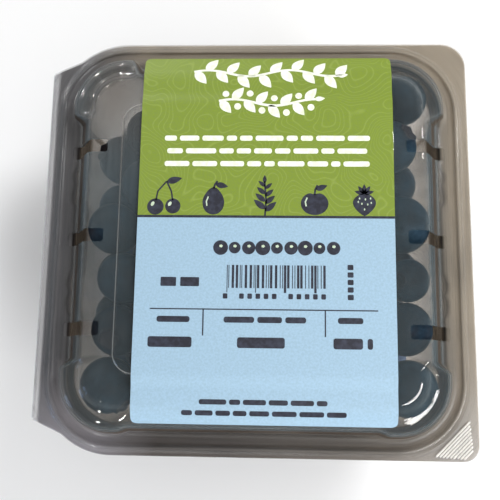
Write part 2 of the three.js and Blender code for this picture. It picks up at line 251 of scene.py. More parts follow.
def tube_faces(first, rings, n):
    """The same with both ends closed."""
    last = first + (rings - 1) * n
    return [*ring_faces(first, rings, n), tuple(range(first, first + n))[::-1], tuple(range(last, last + n))]


def apply_modifiers(obj):
    evaluated = obj.evaluated_get(bpy.context.evaluated_depsgraph_get())
    mesh = bpy.data.meshes.new_from_object(evaluated)
    obj.modifiers.clear()
    obj.data = mesh


def thicken(obj, thickness):
    modifier = obj.modifiers.new("thickness", "SOLIDIFY")
    modifier.thickness = thickness * MM
    modifier.offset = -1
    modifier.use_even_offset = True
    apply_modifiers(obj)


def cut(obj, cutter):
    modifier = obj.modifiers.new("cut", "BOOLEAN")
    modifier.object = cutter
    modifier.operation = "DIFFERENCE"
    modifier.solver = "MANIFOLD"
    apply_modifiers(obj)
    bpy.data.objects.remove(cutter)


# Rings: every sheet is a square core pushed out by a radius, station by station

def ring_stations():
    """Points of the core square, their outward normals, and how much of a corner's section each takes."""
    half = EAR_END + EAR_BLEND
    flat = np.linspace(-EAR_END + EAR_BLEND, EAR_END - EAR_BLEND, 41)
    turn = np.linspace(EAR_END - EAR_BLEND, half, 13)[1:]
    sides = np.concatenate([-turn[::-1], flat, turn])
    tab = math.degrees(math.atan2(HINGE_HALF_LENGTH - CORE_HALF, FLANGE_HALF_X - CORE_HALF))
    corner = np.union1d(np.linspace(0, 90, 37), [tab, 90 - tab])
    cores, normals, fullness = [], [], []
    for quarter, side_fullness in enumerate(SIDE_FULLNESS):
        c, s = round(math.cos(quarter * math.pi / 2)), round(math.sin(quarter * math.pi / 2))
        for along in sides:
            share = np.clip((abs(along) - EAR_END + EAR_BLEND) / (2 * EAR_BLEND), 0, 1)
            share = share * share * (3 - 2 * share)
            cores.append((CORE_HALF * c - along * s, CORE_HALF * s + along * c))
            normals.append((c, s))
            fullness.append(side_fullness + (1 - side_fullness) * share)
        for degrees in corner:
            x, y = math.cos(math.radians(degrees)), math.sin(math.radians(degrees))
            cores.append((CORE_HALF * (c - s), CORE_HALF * (s + c)))
            normals.append((x * c - y * s, x * s + y * c))
            fullness.append(1)
    return np.array(cores, float), np.array(normals, float), np.array(fullness, float)


CORES, NORMALS, FULLNESS = ring_stations()


def arc(cx, cy, radius, start, end, count=24):
    angles = np.linspace(start, end, count)
    return np.stack([cx + radius * np.cos(angles), cy + radius * np.sin(angles)], 1)


def bar(x0, x1, low, high, corner=0.3, count=5):
    """The outline of a rounded bar from (x0, low) to (x1, high)."""
    quarter = math.pi / 2
    r = min(corner, (x1 - x0) / 2.01, (high - low) / 2.01)
    return np.concatenate([
        arc(x1 - r, low + r, r, -quarter, 0, count),
        arc(x1 - r, high - r, r, 0, quarter, count),
        arc(x0 + r, high - r, r, quarter, 2 * quarter, count),
        arc(x0 + r, low + r, r, 2 * quarter, 3 * quarter, count),
    ])


def flange_outline():
    reach = FLANGE_HALF_Y - CORE_HALF
    quarter = math.pi / 2
    return np.concatenate([
        [(HINGE_EDGE_X, HINGE_HALF_LENGTH), (HINGE_EDGE_X, -HINGE_HALF_LENGTH)],
        arc(-CORE_HALF, -CORE_HALF, reach, 2 * quarter + FLARE_ANGLE, 3 * quarter),
        arc(FLANGE_HALF_X - FRONT_CORNER_R, FRONT_CORNER_R - FLANGE_HALF_Y, FRONT_CORNER_R, -quarter, 0),
        arc(FLANGE_HALF_X - BACK_CORNER_R, FLANGE_HALF_Y - BACK_CORNER_R, BACK_CORNER_R, 0, quarter),
        arc(-CORE_HALF, CORE_HALF, reach, quarter, 2 * quarter - FLARE_ANGLE),
    ])


def outline_reach():
    """How far each station's ray runs to the flange's cut edge."""
    start = flange_outline()
    edge = np.roll(start, -1, 0) - start
    reach = []
    for core, normal in zip(CORES, NORMALS):
        cross = normal[0] * edge[:, 1] - normal[1] * edge[:, 0]
        safe = np.where(np.abs(cross) < 1e-9, np.nan, cross)
        offset = start - core
        t = (offset[:, 0] * edge[:, 1] - offset[:, 1] * edge[:, 0]) / safe
        s = (offset[:, 0] * normal[1] - offset[:, 1] * normal[0]) / safe
        hits = t[(s >= -1e-6) & (s <= 1 + 1e-6) & (t > 0)]
        reach.append(hits.min())
    return np.array(reach)


OUTLINE_REACH = outline_reach()


def rounded(controls, softness=1.3, samples=6):
    """A chain of control rows with each corner rounded.

    A row is ear reach, ear height, side reach, side height and core half size."""
    rows = np.array(controls, float)
    line = [rows[0]]
    for before, here, after in zip(rows, rows[1:], rows[2:]):
        a = min(0.5, softness / np.hypot(*(here - before)[:2]))
        b = min(0.5, softness / np.hypot(*(after - here)[:2]))
        start, end = here + (before - here) * a, here + (after - here) * b
        for t in np.linspace(0, 1, samples):
            line.append(start * (1 - t) ** 2 + 2 * here * t * (1 - t) + end * t * t)
    line.append(rows[-1])
    return np.array(line)


def ring(ear, side=None, core=CORE_HALF):
    return [*ear, *(side or ear), core]


def sheet_mesh(name, flange_z, controls, flutes=None):
    """A surface from the flange's cut edge in to the sheet's middle.

    Its reach and height are mixed between the ears' section and the sides'."""
    rows = rounded(controls)
    count = len(CORES)
    first = rows[0]
    points = []
    for k in range(EDGE_ROWS):
        share = k / EDGE_ROWS
        reach = OUTLINE_REACH * (1 - share) + first[0] * share
        place = CORES + NORMALS * reach[:, None]
        points.append(np.column_stack([place, flange_z - hinge_groove(place[:, 0])]))
    for ear_r, ear_z, side_r, side_z, core in rows:
        reach = ear_r * FULLNESS + side_r * (1 - FULLNESS)
        share = np.clip(FULLNESS, 0, 1)
        z = ear_z * share + side_z * (1 - share)
        if flutes:
            reach = reach + flutes(reach, z)
        points.append(np.column_stack([CORES * core / CORE_HALF + NORMALS * reach[:, None], z]))
    rings = len(points)
    vertices = np.concatenate(points + [[(0, 0, points[-1][0][2])]])
    faces = ring_faces(0, rings, count)
    last = (rings - 1) * count
    faces += [(last + s, last + (s + 1) % count, rings * count) for s in range(count)]
    obj = mesh_object(name, vertices, faces)
    merge_doubles(obj)
    thicken(obj, SHEET)
    return obj


def merge_doubles(obj):
    work = bmesh.new()
    work.from_mesh(obj.data)
    bmesh.ops.remove_doubles(work, verts=work.verts, dist=1e-6)
    work.to_mesh(obj.data)
    work.free()


def hinge_groove(x):
    """The two sheets are pressed down along one line beside the hinge, so that they fold there."""
    return HINGE_GROOVE_DEPTH * np.exp(-(((x - HINGE_GROOVE_X) / HINGE_GROOVE_WIDTH) ** 2))


def wall_flutes(reach, z):
    """The tray's rim swells out in short flutes on its left and right sides, between the slots."""
    along = CORES[:, 1]
    swell = sum(np.exp(-(((along - place) / FLUTE_WIDTH) ** 4)) for place in FLUTE_PLACES)
    on_sides = np.abs(NORMALS[:, 0]) > 0.99
    near_rim = np.clip((z - FLUTE_FOOT) / (TRAY_HEIGHT - FLUTE_FOOT), 0, 1)
    inside_flange = np.clip((FLUTE_OUTER - reach) / FLUTE_FADE, 0, 1)
    return FLUTE_DEPTH * swell * on_sides * near_rim * inside_flange


def join(first, *others):
    """Joins the other objects' meshes into the first."""
    work = bmesh.new()
    for obj in (first, *others):
        work.from_mesh(obj.data)
    work.to_mesh(first.data)
    work.free()
    for obj in others:
        bpy.data.objects.remove(obj)


def prism(name, outline, low, high):
    vertices = [(x, y, z) for z in (low, high) for x, y in outline]
    return mesh_object(name, vertices, tube_faces(0, 2, len(outline)))


def cut_slots(obj, inner, outer, low, high):
    """Cuts three slots down each side, from inner to outer distance off the middle."""
    outline = bar(inner, outer, -SLOT_WIDTH / 2, SLOT_WIDTH / 2, SLOT_CORNER_R, 6)
    for side in (-1, 1):
        for place in (-1, 0, 1):
            cut(obj, prism("slot_cutter", outline * side + (0, place * SLOT_PITCH), low, high))


def make_lid():
    base, top = LID_FLANGE_TOP, LID_TOP
    lid = sheet_mesh("lid_sheet", base, [
        ring((23.4, base)),
        ring((23.1, base)),
        ring((22.3, base + BEAD_RISE)),
        ring((20.7, base + BEAD_RISE)),
        ring((19.9, base)),
        ring((17.6, base), (14.7, base)),
        ring((17, top - 6.2), (13.4, top - 6.6)),
        ring((16.2, top - 4), (12, top - 4)),
        ring((15, top - 3), (11.2, top - 2.4)),
        ring((13, top - 2.6), (10.4, top - 1.1)),
        ring((10.2, top - 2.3), (9.6, top - 0.35)),
        ring((8.8, top - 0.9), (8.8, top - 0.05)),
        ring((7.2, top)),
        ring((PANEL_CORNER_R + 0.6, top), core=PANEL_CORE),
        ring((PANEL_CORNER_R, top + PANEL_RISE), core=PANEL_CORE),
        ring((PANEL_CORNER_R - 1, top + PANEL_RISE), core=PANEL_CORE),
    ])
    cut_slots(lid, *LID_SLOT, base - SHEET - 0.2, top + 3)
    join(lid, make_grip_ribs())
    shade_smooth(lid, 50)
    return lid


def make_grip_ribs():
    """Fine beaded ribs across the front corner away from the hinge, where a thumb lifts the lid."""
    vertices, faces = [], []
    diagonal, across = np.array([1, -1]) / math.sqrt(2), np.array([1, 1]) / math.sqrt(2)
    section = np.linspace(0, math.pi, 7)
    draw = np.random.default_rng(SEED)
    for reach in np.arange(GRIP_FROM, GRIP_TO, GRIP_PITCH):
        length = GRIP_LENGTH - GRIP_SHORTENING * (reach - GRIP_FROM)
        steps = int(length / GRIP_STEP)
        beads = draw.uniform(0.3, 1, steps + 1)
        first = len(vertices)
        for k in range(steps + 1):
            along = length * (k / steps - 0.5)
            taper = min(1, k / 3, (steps - k) / 3)
            height = GRIP_HEIGHT * taper * beads[k]
            for angle in section:
                side = math.cos(angle) * GRIP_WIDTH
                x, y = np.array([CORE_HALF, -CORE_HALF]) + diagonal * (reach + side) + across * along
                foot = LID_FLANGE_TOP - GRIP_SUNK * (1 - taper)
                vertices.append((x, y, foot + height * math.sin(angle)))
        faces += tube_faces(first, steps + 1, len(section))
    ribs = mesh_object("grip_ribs", vertices, faces)
    for _ in range(2):
        ribs.data.materials.append(None)
    ribs.data.polygons.foreach_set("material_index", np.ones(len(faces), np.int32))
    return ribs


def make_hinge_fold():
    """The thin bend of sheet that joins the two flanges round the hinge line."""
    inner, outer = 0.12, 0.46
    bend = np.linspace(-0.5 * math.pi, 0.5 * math.pi, 13)
    section = [(-math.cos(a) * outer, math.sin(a) * outer) for a in bend]
    section += [(-math.cos(a) * inner, math.sin(a) * inner) for a in bend[::-1]]
    rows = np.linspace(-HINGE_HALF_LENGTH + 0.6, HINGE_HALF_LENGTH - 0.6, 80)
    vertices = [(-FLANGE_HALF_X + x, y, HINGE_Z + z) for y in rows for x, z in section]
    return mesh_object("hinge_fold", vertices, tube_faces(0, len(rows), len(section)), smooth_angle=40)


def make_tray():
    top = TRAY_HEIGHT
    tray = sheet_mesh("tray_sheet", top, [
        ring((22.3, top)),
        ring((22.1, top)),
        ring((21.9, top + 0.8)),
        ring((21.1, top + 0.8)),
        ring((20.9, top)),
        ring((17, top), (16.6, top)),
        ring((16.2, top - 1.2), (15.8, top - 1.2)),
        ring((15.6, 28), (13.9, 28), 43.4),
        ring((13.2, 6), (11.6, 6), 41.2),
        ring((12.2, 2.4), (10.8, 2.4), 40.8),
        ring((10.6, 1), (9.6, 1), 40.5),
        ring((8.6, SHEET), (7.8, SHEET), 40.3),
        ring((5.6, SHEET), (5.2, SHEET), 40),
        ring((4.2, 1.9), (4, 1.9), 39.8),
        ring((3.4, 1.9), (3.2, 1.9), 39.6),
    ], wall_flutes)
    cut_slots(tray, *TRAY_SLOT, -2, TRAY_SLOT_TOP)
    shade_smooth(tray, 50)
    return tray


# Berries: the same settling rule as the frame's heap, so that each real berry lies where its plain one does

TOP_BERRIES = [
    (48.2, 48.4, 8.3),
    (43.8, 31.8, 9),
    (47, 5.8, 9.5),
    (48.4, -12.6, 7),
    (47.7, -28, 8.6),
    (48.6, -46.4, 9.3),
    (-46.4, -46.6, 9),
    (-43.6, -29.4, 8.4),
    (-42.8, -12.6, 8.4),
    (-46.2, 3.6, 8.6),
    (-36.6, 19, 8),
    (-35.4, 36, 8.4),
]
LAYERS = [(6, 10, 42, 42), (6, 22, 45, 45), (5, 34, 28, 49)]
BERRY_R_SMALL = 6.9
BERRY_R_LARGE = 9.1
TOP_LAYER_FROM = 28
SETTLE_STEPS = 160
SINK_SHARE = 0.8
SINK = 0.06
JITTER = 3
BERRY_FLOOR = 2.6
BERRY_CEILING = LID_TOP - SHEET - 0.6
EAR_DROP = 2.2
WALL_CLEAR = 0.9
EMPTY_X, EMPTY_Y, EMPTY_R = -56, 58, 21
CALYX_LOBES = 5
CALYX_RIM = 0.36
PIT_ANGLE = 0.33
PIT_DEPTH = 0.13
BERRY_FIT = 0.985


def ceiling_at(x, y):
    return BERRY_CEILING - (EAR_DROP if abs(x) > EAR_END and abs(y) > EAR_END else 0)


def loose_berries():
    state = SEED

    def draw():
        nonlocal state
        state = state * 16807 % 2147483647
        return state / 2147483647

    berries = [[x, y, ceiling_at(x, y) - r * BERRY_SQUASH, r, True] for x, y, r in TOP_BERRIES]
    for count, height, half_x, half_y in LAYERS:
        rows = math.floor(count * half_y / half_x + 0.5)
        for i in range(count):
            for j in range(rows):
                x = half_x * (2 * i / (count - 1) - 1) + JITTER * (draw() - 0.5)
                y = half_y * (2 * j / (rows - 1) - 1) + JITTER * (draw() - 0.5)
                z = height + JITTER * (draw() - 0.5)
                r = BERRY_R_SMALL + (BERRY_R_LARGE - BERRY_R_SMALL) * draw()
                if math.hypot(x - EMPTY_X, y - EMPTY_Y) > EMPTY_R:
                    berries.append([x, y, z, r, False])
    return berries


def push_apart(a, b):
    dx, dy, dz = b[0] - a[0], b[1] - a[1], (b[2] - a[2]) / BERRY_SQUASH
    reach = a[3] + b[3]
    squared = dx * dx + dy * dy + dz * dz
    if squared >= reach * reach:
        return
    distance = math.sqrt(squared)
    push = (reach - distance) / distance
    share_a = 0 if a[4] else 1 if b[4] else 0.5
    share_b = 0 if b[4] else 1 - share_a
    for berry, share, way in ((a, share_a, -1), (b, share_b, 1)):
        berry[0] += way * dx * push * share
        berry[1] += way * dy * push * share
        berry[2] += way * dz * push * share * BERRY_SQUASH


def wall_half(z):
    foot, rim, lid_slope = 51.4, 57.6, 0.7
    if z < TRAY_HEIGHT:
        return foot + (rim - foot) * z / TRAY_HEIGHT
    return rim - lid_slope * (z - TRAY_HEIGHT)


def keep_inside(b):
    tall = b[3] * BERRY_SQUASH
    b[2] = min(max(b[2], BERRY_FLOOR + tall), ceiling_at(b[0], b[1]) - tall)
    half = wall_half(b[2]) - WALL_CLEAR - b[3]
    corner = 6
    b[0] = min(max(b[0], -half), half)
    b[1] = min(max(b[1], -half), half)
    over_x, over_y = abs(b[0]) - (half - corner), abs(b[1]) - (half - corner)
    distance = math.hypot(over_x, over_y)
    if over_x > 0 and over_y > 0 and distance > corner:
        b[0] = math.copysign(half - corner + over_x * corner / distance, b[0])
        b[1] = math.copysign(half - corner + over_y * corner / distance, b[1])
    away = math.hypot(b[0] - EMPTY_X, b[1] - EMPTY_Y)
    wanted = EMPTY_R + b[3]
    if away < wanted:
        b[0] += (b[0] - EMPTY_X) * (wanted - away) / away
        b[1] += (b[1] - EMPTY_Y) * (wanted - away) / away


def settle_berries():
    berries = loose_berries()
    for step in range(SETTLE_STEPS):
        for b in berries:
            if not b[4] and step < SETTLE_STEPS * SINK_SHARE:
                b[2] -= SINK
        for i, a in enumerate(berries):
            for b in berries[i + 1:]:
                push_apart(a, b)
        for b in berries:
            if not b[4]:
                keep_inside(b)
    return berries


def calyx_lift(angle, turn):
    """How far the skin stands out or in, as a share of the radius, at an angle from the blossom end."""
    lobes = 0.5 + 0.5 * math.cos(CALYX_LOBES * turn)
    rim = math.exp(-((angle - CALYX_RIM) / 0.07) ** 2) * (0.02 + 0.07 * lobes)
    pit = -PIT_DEPTH * max(0, 1 - (angle / PIT_ANGLE) ** 3)
    shoulder = -0.03 * math.exp(-((angle - 0.5) / 0.12) ** 2)
    return rim + pit + shoulder


def berry_shape(around, down):
    """Unit directions, their lift and their calyx share, from the blossom end down to the stem end."""
    near = [0.12, 0.22, 0.28, 0.32, 0.36, 0.4, 0.46, 0.55, 0.68]
    rest = np.linspace(0.85, math.pi - 0.12, down)
    rows = near + list(rest)
    points = [(0, 0, 1, calyx_lift(0, 0), 1)]
    for angle in rows:
        for k in range(around):
            turn = 2 * math.pi * k / around
            out, share = math.sin(angle), 1 - min(1, max(0, (angle - 0.3) / 0.14))
            direction = out * math.cos(turn), out * math.sin(turn), math.cos(angle)
            points.append((*direction, calyx_lift(angle, turn), share))
    points.append((0, 0, -1, -0.05, 0))
    faces = [(0, 1 + k, 1 + (k + 1) % around) for k in range(around)]
    for row in range(len(rows) - 1):
        a, b = 1 + row * around, 1 + (row + 1) * around
        faces += [(a + k, b + k, b + (k + 1) % around, a + (k + 1) % around) for k in range(around)]
    last, end = 1 + (len(rows) - 1) * around, len(points) - 1
    faces += [(last + k, end, last + (k + 1) % around) for k in range(around)]
    return np.array(points), faces


def make_berries():
    draw = np.random.default_rng(SEED)
    fine, plain = berry_shape(30, 16), berry_shape(20, 9)
    vertices, faces, calyx, tone = [], [], [], []
    total = 0
    for x, y, z, r, _ in settle_berries():
        shape, shape_faces = fine if z > TOP_LAYER_FROM else plain
        turns = draw.uniform(0, math.pi), draw.uniform(-1, 1), draw.uniform(0, 2 * math.pi)
        local = shape[:, :3] * (1 + shape[:, 3:4])
        dented = 1 + 0.02 * np.sin(2.3 * local[:, 0:1] * draw.uniform(0.6, 1.4) + draw.uniform(0, 6))
        tipped = (local * dented) @ np.array(Euler(turns).to_matrix()).T * (r * BERRY_FIT)
        vertices.append(tipped * (1, 1, BERRY_SQUASH) + (x, y, z))
        faces += [tuple(i + total for i in face) for face in shape_faces]
        calyx.append(shape[:, 4])
        tone.append(np.full(len(shape), draw.uniform()))
        total += len(shape)
    berries = mesh_object("blueberries", np.concatenate(vertices), faces, smooth_angle=60)
    store(berries.data, "calyx", np.concatenate(calyx))
    store(berries.data, "tone", np.concatenate(tone))
    return berries


def make_heap_core():
    """The middle of the heap, wholly behind the berries, with the empty corner cut off it."""
    half, low, high, notch = 43, 10, 25, -17
    outline = [(-half, -half), (half, -half), (half, half), (notch, half), (-half, -notch)]
    core = prism("heap_core", outline, low, high)
    bevel = core.modifiers.new("round", "BEVEL")
    bevel.width = 5 * MM
    bevel.segments = 4
    apply_modifiers(core)
    shade_smooth(core, 50)
    return core


# Label

OVER_LID = LID_TOP + GAP
OVER_PANEL = LID_TOP + PANEL_RISE + GAP
LABEL_LINE = [
    (LABEL_FRONT, OVER_LID - 2.1),
    (-55.6, OVER_LID - 1),
    (-53.4, OVER_LID - 0.2),
    (-51.2, OVER_LID),
    (-46.4, OVER_LID + 0.1),
    (-43.6, OVER_PANEL),
    (43.6, OVER_PANEL),
    (46.4, OVER_LID + 0.1),
    (51.4, OVER_LID),
    (54.2, OVER_LID - 0.4),
    (57, OVER_LID - 1.6),
    (LABEL_BACK, OVER_LID - 2.5),
]


def label_height(y):
    """Height of the label's lower face, with its bends softened."""
    ys, zs = zip(*LABEL_LINE)
    spread = np.linspace(-0.9, 0.9, 7)
    return np.mean([np.interp(np.asarray(y, float) + s, ys, zs) for s in spread], 0)


def label_rows():
    edge = np.linspace(0, LABEL_CORNER_R, 6)
    middle = np.linspace(LABEL_FRONT + LABEL_CORNER_R, LABEL_BACK - LABEL_CORNER_R, 150)[1:-1]
    return np.unique([*(LABEL_FRONT + edge), *middle, *(LABEL_BACK - edge), GREEN_FROM])


def make_label():
    rows = label_rows()
    columns = np.linspace(-1, 1, 33)
    vertices = []
    for y in rows:
        into_corner = max(0, LABEL_CORNER_R - min(y - LABEL_FRONT, LABEL_BACK - y))
        inset = LABEL_CORNER_R - math.sqrt(LABEL_CORNER_R ** 2 - into_corner ** 2)
        half = LABEL_WIDTH / 2 - inset
        vertices += [(LABEL_MIDDLE_X + half * c, y, label_height(y) + LABEL_FACE) for c in columns]
    n = len(columns)
    faces = []
    for k in range(len(rows) - 1):
        faces += [(k * n + i, k * n + i + 1, (k + 1) * n + i + 1, (k + 1) * n + i) for i in range(n - 1)]
    label = mesh_object("label_sheet", vertices, faces)
    green = [rows[min(f[0] // n, len(rows) - 2)] >= GREEN_FROM - 1e-6 for f in faces]
    for _ in range(3):
        label.data.materials.append(None)
    label.data.polygons.foreach_set("material_index", [0 if g else 1 for g in green])
    thicken(label, LABEL_SHEET * 0.6)
    for face in label.data.polygons:
        if face.normal.z < -0.3:
            face.material_index = 2
    shade_smooth(label, 40)
    return label


# The label's print: plain shapes laid on the paper, each an outline of (x, y) points in millimetres

def turned(points, angle):
    c, s = math.cos(angle), math.sin(angle)
    return points @ np.array([[c, s], [-s, c]])


def disc(cx, cy, rx, ry=None, turn=0, count=30):
    angles = np.linspace(0, 2 * math.pi, count, endpoint=False)
    return turned(np.stack([rx * np.cos(angles), (ry or rx) * np.sin(angles)], 1), turn) + (cx, cy)


def leaf(x, y, length, width, turn):
    """A pointed leaf that starts at (x, y)."""
    t = np.linspace(0, 1, 14)
    half = width / 2 * np.sin(math.pi * t ** 0.8) ** 0.9
    outline = np.concatenate([np.stack([t * length, half], 1), np.stack([t * length, -half], 1)[-2:0:-1]])
    return turned(outline, turn) + (x, y)


def stroke(points, width):
    """A line of even width through the points."""
    line = np.array(points, float)
    along = np.gradient(line, axis=0)
    side = np.stack([-along[:, 1], along[:, 0]], 1) / np.linalg.norm(along, axis=1)[:, None] * width / 2
    return np.concatenate([line - side, (line + side)[::-1]])


def bar_row(x0, x1, low, high, seed):
    """A row of bars of uneven length from x0 to x1."""
    draw = np.random.default_rng(seed)
    gap = (high - low) * 0.55
    count = max(1, round((x1 - x0) / ((high - low) * 4)))
    lengths = draw.uniform(0.5, 1.5, count)
    lengths *= (x1 - x0 - gap * (count - 1)) / lengths.sum()
    starts = x0 + np.concatenate([[0], np.cumsum(lengths + gap)[:-1]])
    return [bar(a, a + length, low, high, (high - low) * 0.4) for a, length in zip(starts, lengths)]


def garland(x0, x1, middle, tall, pitch, berries):
    """A wavy stem with leaves above and below it, and berries between the leaves."""
    xs = np.linspace(x0 + 2, x1 - 2, 60)
    wave = 0.12 * tall

    def stem(x):
        return middle + wave * np.sin((x - x0) / 4.2)

    shapes = [stroke(np.stack([xs, stem(xs)], 1), 0.8)]
    for k, x in enumerate(np.arange(x0 + 2.4, x1 - 3.4, pitch)):
        way = 1 if k % 2 else -1
        y = float(stem(x))
        shapes.append(leaf(x, y, tall * 0.6, tall * 0.33, way * 0.86))
        if berries:
            shapes.append(disc(x + 0.45 * pitch, y - way * tall * 0.27, tall * 0.12))
    shapes.append(leaf(x1 - 3, float(stem(x1 - 3)), 3.4, 1.7, 0.1))
    return shapes


def cherries(x, ground):
    low = ground + 2.7
    top = (x + 0.6, low + 8.2)
    stems = [stroke([(x + dx, low + 2), (x + dx * 0.8, low + 5), top], 0.5) for dx in (-2.6, 2.7)]
    fruit = [disc(x - 2.7, low, 2.6), disc(x + 2.8, low + 0.2, 2.4)]
    return [*fruit, leaf(x + 0.6, low + 8, 5, 2.2, 0.25), *stems]


def pear(x, ground):
    angles = np.linspace(0, 2 * math.pi, 40, endpoint=False)
    neck = 1 - 0.26 * np.clip(np.sin(angles), 0, 1) ** 2
    up = 4.4 * np.sin(angles) * (1 + 0.1 * np.sin(angles))
    body = np.stack([x + 3.4 * np.cos(angles) * neck, ground + 4.2 + up], 1)
    stem = stroke([(x, ground + 8.6), (x + 0.4, ground + 10), (x + 1.2, ground + 11)], 0.6)
    return [body, stem, leaf(x + 0.6, ground + 10, 4, 1.9, -0.2)]


def sprig(x, ground):
    shapes = [stroke([(x, ground), (x + 0.3, ground + 5), (x - 0.2, ground + 11)], 0.55)]
    for k in range(4):
        y = ground + 1.4 + 2.4 * k
        size = 4.6 - 0.6 * k
        shapes += [leaf(x, y, size, size * 0.42, 0.7), leaf(x, y + 0.7, size, size * 0.42, math.pi - 0.7)]
    return shapes + [leaf(x - 0.2, ground + 10.4, 2.6, 1.2, math.pi / 2)]


def apple(x, ground):
    angles = np.linspace(0, 2 * math.pi, 44, endpoint=False)
    lobes = 1 + 0.07 * np.cos(2 * angles) - 0.16 * np.exp(-((angles - math.pi / 2) / 0.35) ** 2)
    body = np.stack([x + 4 * np.cos(angles) * lobes, ground + 3.9 + 3.9 * np.sin(angles) * lobes], 1)
    stem = stroke([(x, ground + 6.6), (x + 0.2, ground + 8.4), (x + 0.9, ground + 9.8)], 0.6)
    return [body, stem, leaf(x + 0.4, ground + 8.4, 3.8, 1.8, 0.35)]


def strawberry(x, ground):
    t = np.linspace(-1, 1, 18)
    right = np.stack([x + 3.5 * np.cos(t * math.pi / 2) ** 0.7 * (1 + 0.25 * t), ground + 3.7 + 3.7 * t], 1)
    left = right[::-1] * (-1, 1) + (2 * x, 0)
    crown = [leaf(x, ground + 7.1, 3.1, 1.3, 0.25 + k * (math.pi - 0.5) / 4) for k in range(5)]
    return [np.concatenate([right[:-1], left[:-1]]), *crown]


def strawberry_seeds(x, ground):
    places = [(-1.5, 5.6), (0.3, 5.3), (1.9, 5.6), (-0.8, 3.9), (1, 3.7), (0, 2.1), (-1.9, 4.5), (2.1, 4.2)]
    return [disc(x + dx, ground + dy, 0.22, 0.36, count=10) for dx, dy in places]


def stripes(x0, x1, low, high):
    """Upright stripes of four widths in an order that stands for nothing."""
    shapes = []
    x, k = x0, 0
    while x < x1 - 1:
        width = 0.24 * (1 + (k * k + 3 * k) % 4)
        drop = 1.4 if k % 9 == 0 else 0
        shapes.append(bar(x, x + width, low - drop, high, 0.02))
        x += width + 0.26 * (1 + (5 * k + k // 3) % 3)
        k += 1
    return shapes


def white_print():
    shapes = garland(-22.4, 29, 53.6, 9.6, 3.5, False) + garland(-14, 21.6, 43.2, 9.2, 3.9, True)
    for k, y in enumerate((31.2, 27, 22.8)):
        inset = (0, 0.9, 0.2)[k]
        shapes += bar_row(-29 + inset, 36 - inset, y - 0.85, y + 0.85, 11 + k)
    return shapes


MOTIFS = ((cherries, -28.5), (pear, -13), (sprig, 3.2), (apple, 18.6), (strawberry, 34))


def dark_print():
    half = LABEL_WIDTH / 2 - 0.02
    shapes = [bar(LABEL_MIDDLE_X - half, LABEL_MIDDLE_X + half, GREEN_FROM - 0.75, GREEN_FROM, 0.01)]
    for motif, x in MOTIFS:
        shapes += motif(x, GREEN_FROM)
    shapes += [disc(-10.4 + 4.35 * k, -4.1, 2.3 - 0.24 * (k * 5 % 3)) for k in range(9)]
    shapes += [bar(-28.7, -23.9, -16.2, -13.4), bar(-22.6, -16.8, -16.2, -13.4)]
    shapes += stripes(-8.3, 23.3, -16.6, -9.5)
    shapes += [bar(-9.4 + 2.5 * k, -8 + 2.5 * k, -19.9, -18.3) for k in range(13) if k not in (1, 7)]
    shapes += [bar(28.6, 30.4, y - 1.6, y, 0.3) for y in np.arange(-9.2, -20, -2.3)]
    shapes.append(bar(-31.7, 37.7, -23.35, -23, 0.01))
    shapes += [bar(x, x + 0.4, -31.2, -23.2, 0.01) for x in (-15.5, 21.6)]
    for x0, x1, seed in ((-29.5, -19.4, 21), (-9, 16, 22), (25.6, 33.2, 23)):
        shapes += bar_row(x0, x1, -27.2, -25.4, seed)
    thick_bars = ((-32, -18.6), (-4.8, 9.6), (24.2, 33), (34.4, 36))
    shapes += [bar(x0, x1, -34.8, -31.6, 0.7) for x0, x1 in thick_bars]
    shapes += bar_row(-16, 22.4, -51.6, -50.1, 31) + bar_row(-21.3, 28.1, -54.9, -53.4, 32)
    return shapes


def light_print():
    """Small pale details that lie on the dark shapes."""
    shapes = strawberry_seeds(34, GREEN_FROM)
    shapes += [disc(-10.3 + 4.35 * k, -3.6, 0.6, 0.5, count=5) for k in range(9)]
    shapes.append(stroke([(-15, GREEN_FROM + 3), (-15.2, GREEN_FROM + 4.4), (-14.6, GREEN_FROM + 6)], 0.4))
    shapes.append(stroke([(16, GREEN_FROM + 3), (15.7, GREEN_FROM + 4.4), (16.3, GREEN_FROM + 5.8)], 0.45))
    shapes += [disc(x - 3.6, GREEN_FROM + 3.6, 0.5, 0.8, -0.5, 12) for x in (-28.5, -23.1)]
    return shapes


def make_print(name, outlines, lift):
    """Print of one colour: its outlines as thin flat pieces that follow the label's bends."""
    work = bmesh.new()
    for outline in outlines:
        work.faces.new([work.verts.new((x, y, 0)) for x, y in outline])
    bmesh.ops.triangulate(work, faces=work.faces)
    for y in (*np.arange(-57, -42, 0.8), *np.arange(42, 60, 0.8)):
        everything = [*work.verts, *work.edges, *work.faces]
        bmesh.ops.bisect_plane(work, geom=everything, plane_co=(0, y, 0), plane_no=(0, 1, 0), dist=1e-5)
    for vertex in work.verts:
        x, y, _ = vertex.co
        vertex.co = Vector((x, y, label_height(y) + LABEL_FACE + lift)) * MM
    bmesh.ops.recalc_face_normals(work, faces=work.faces)
    for face in work.faces:
        if face.normal.z < 0:
            face.normal_flip()
    mesh = bpy.data.meshes.new(name)
    work.to_mesh(mesh)
    work.free()
    obj = new_object(name, mesh)
    thicken(obj, PRINT_SHEET)
    return obj


# Materials

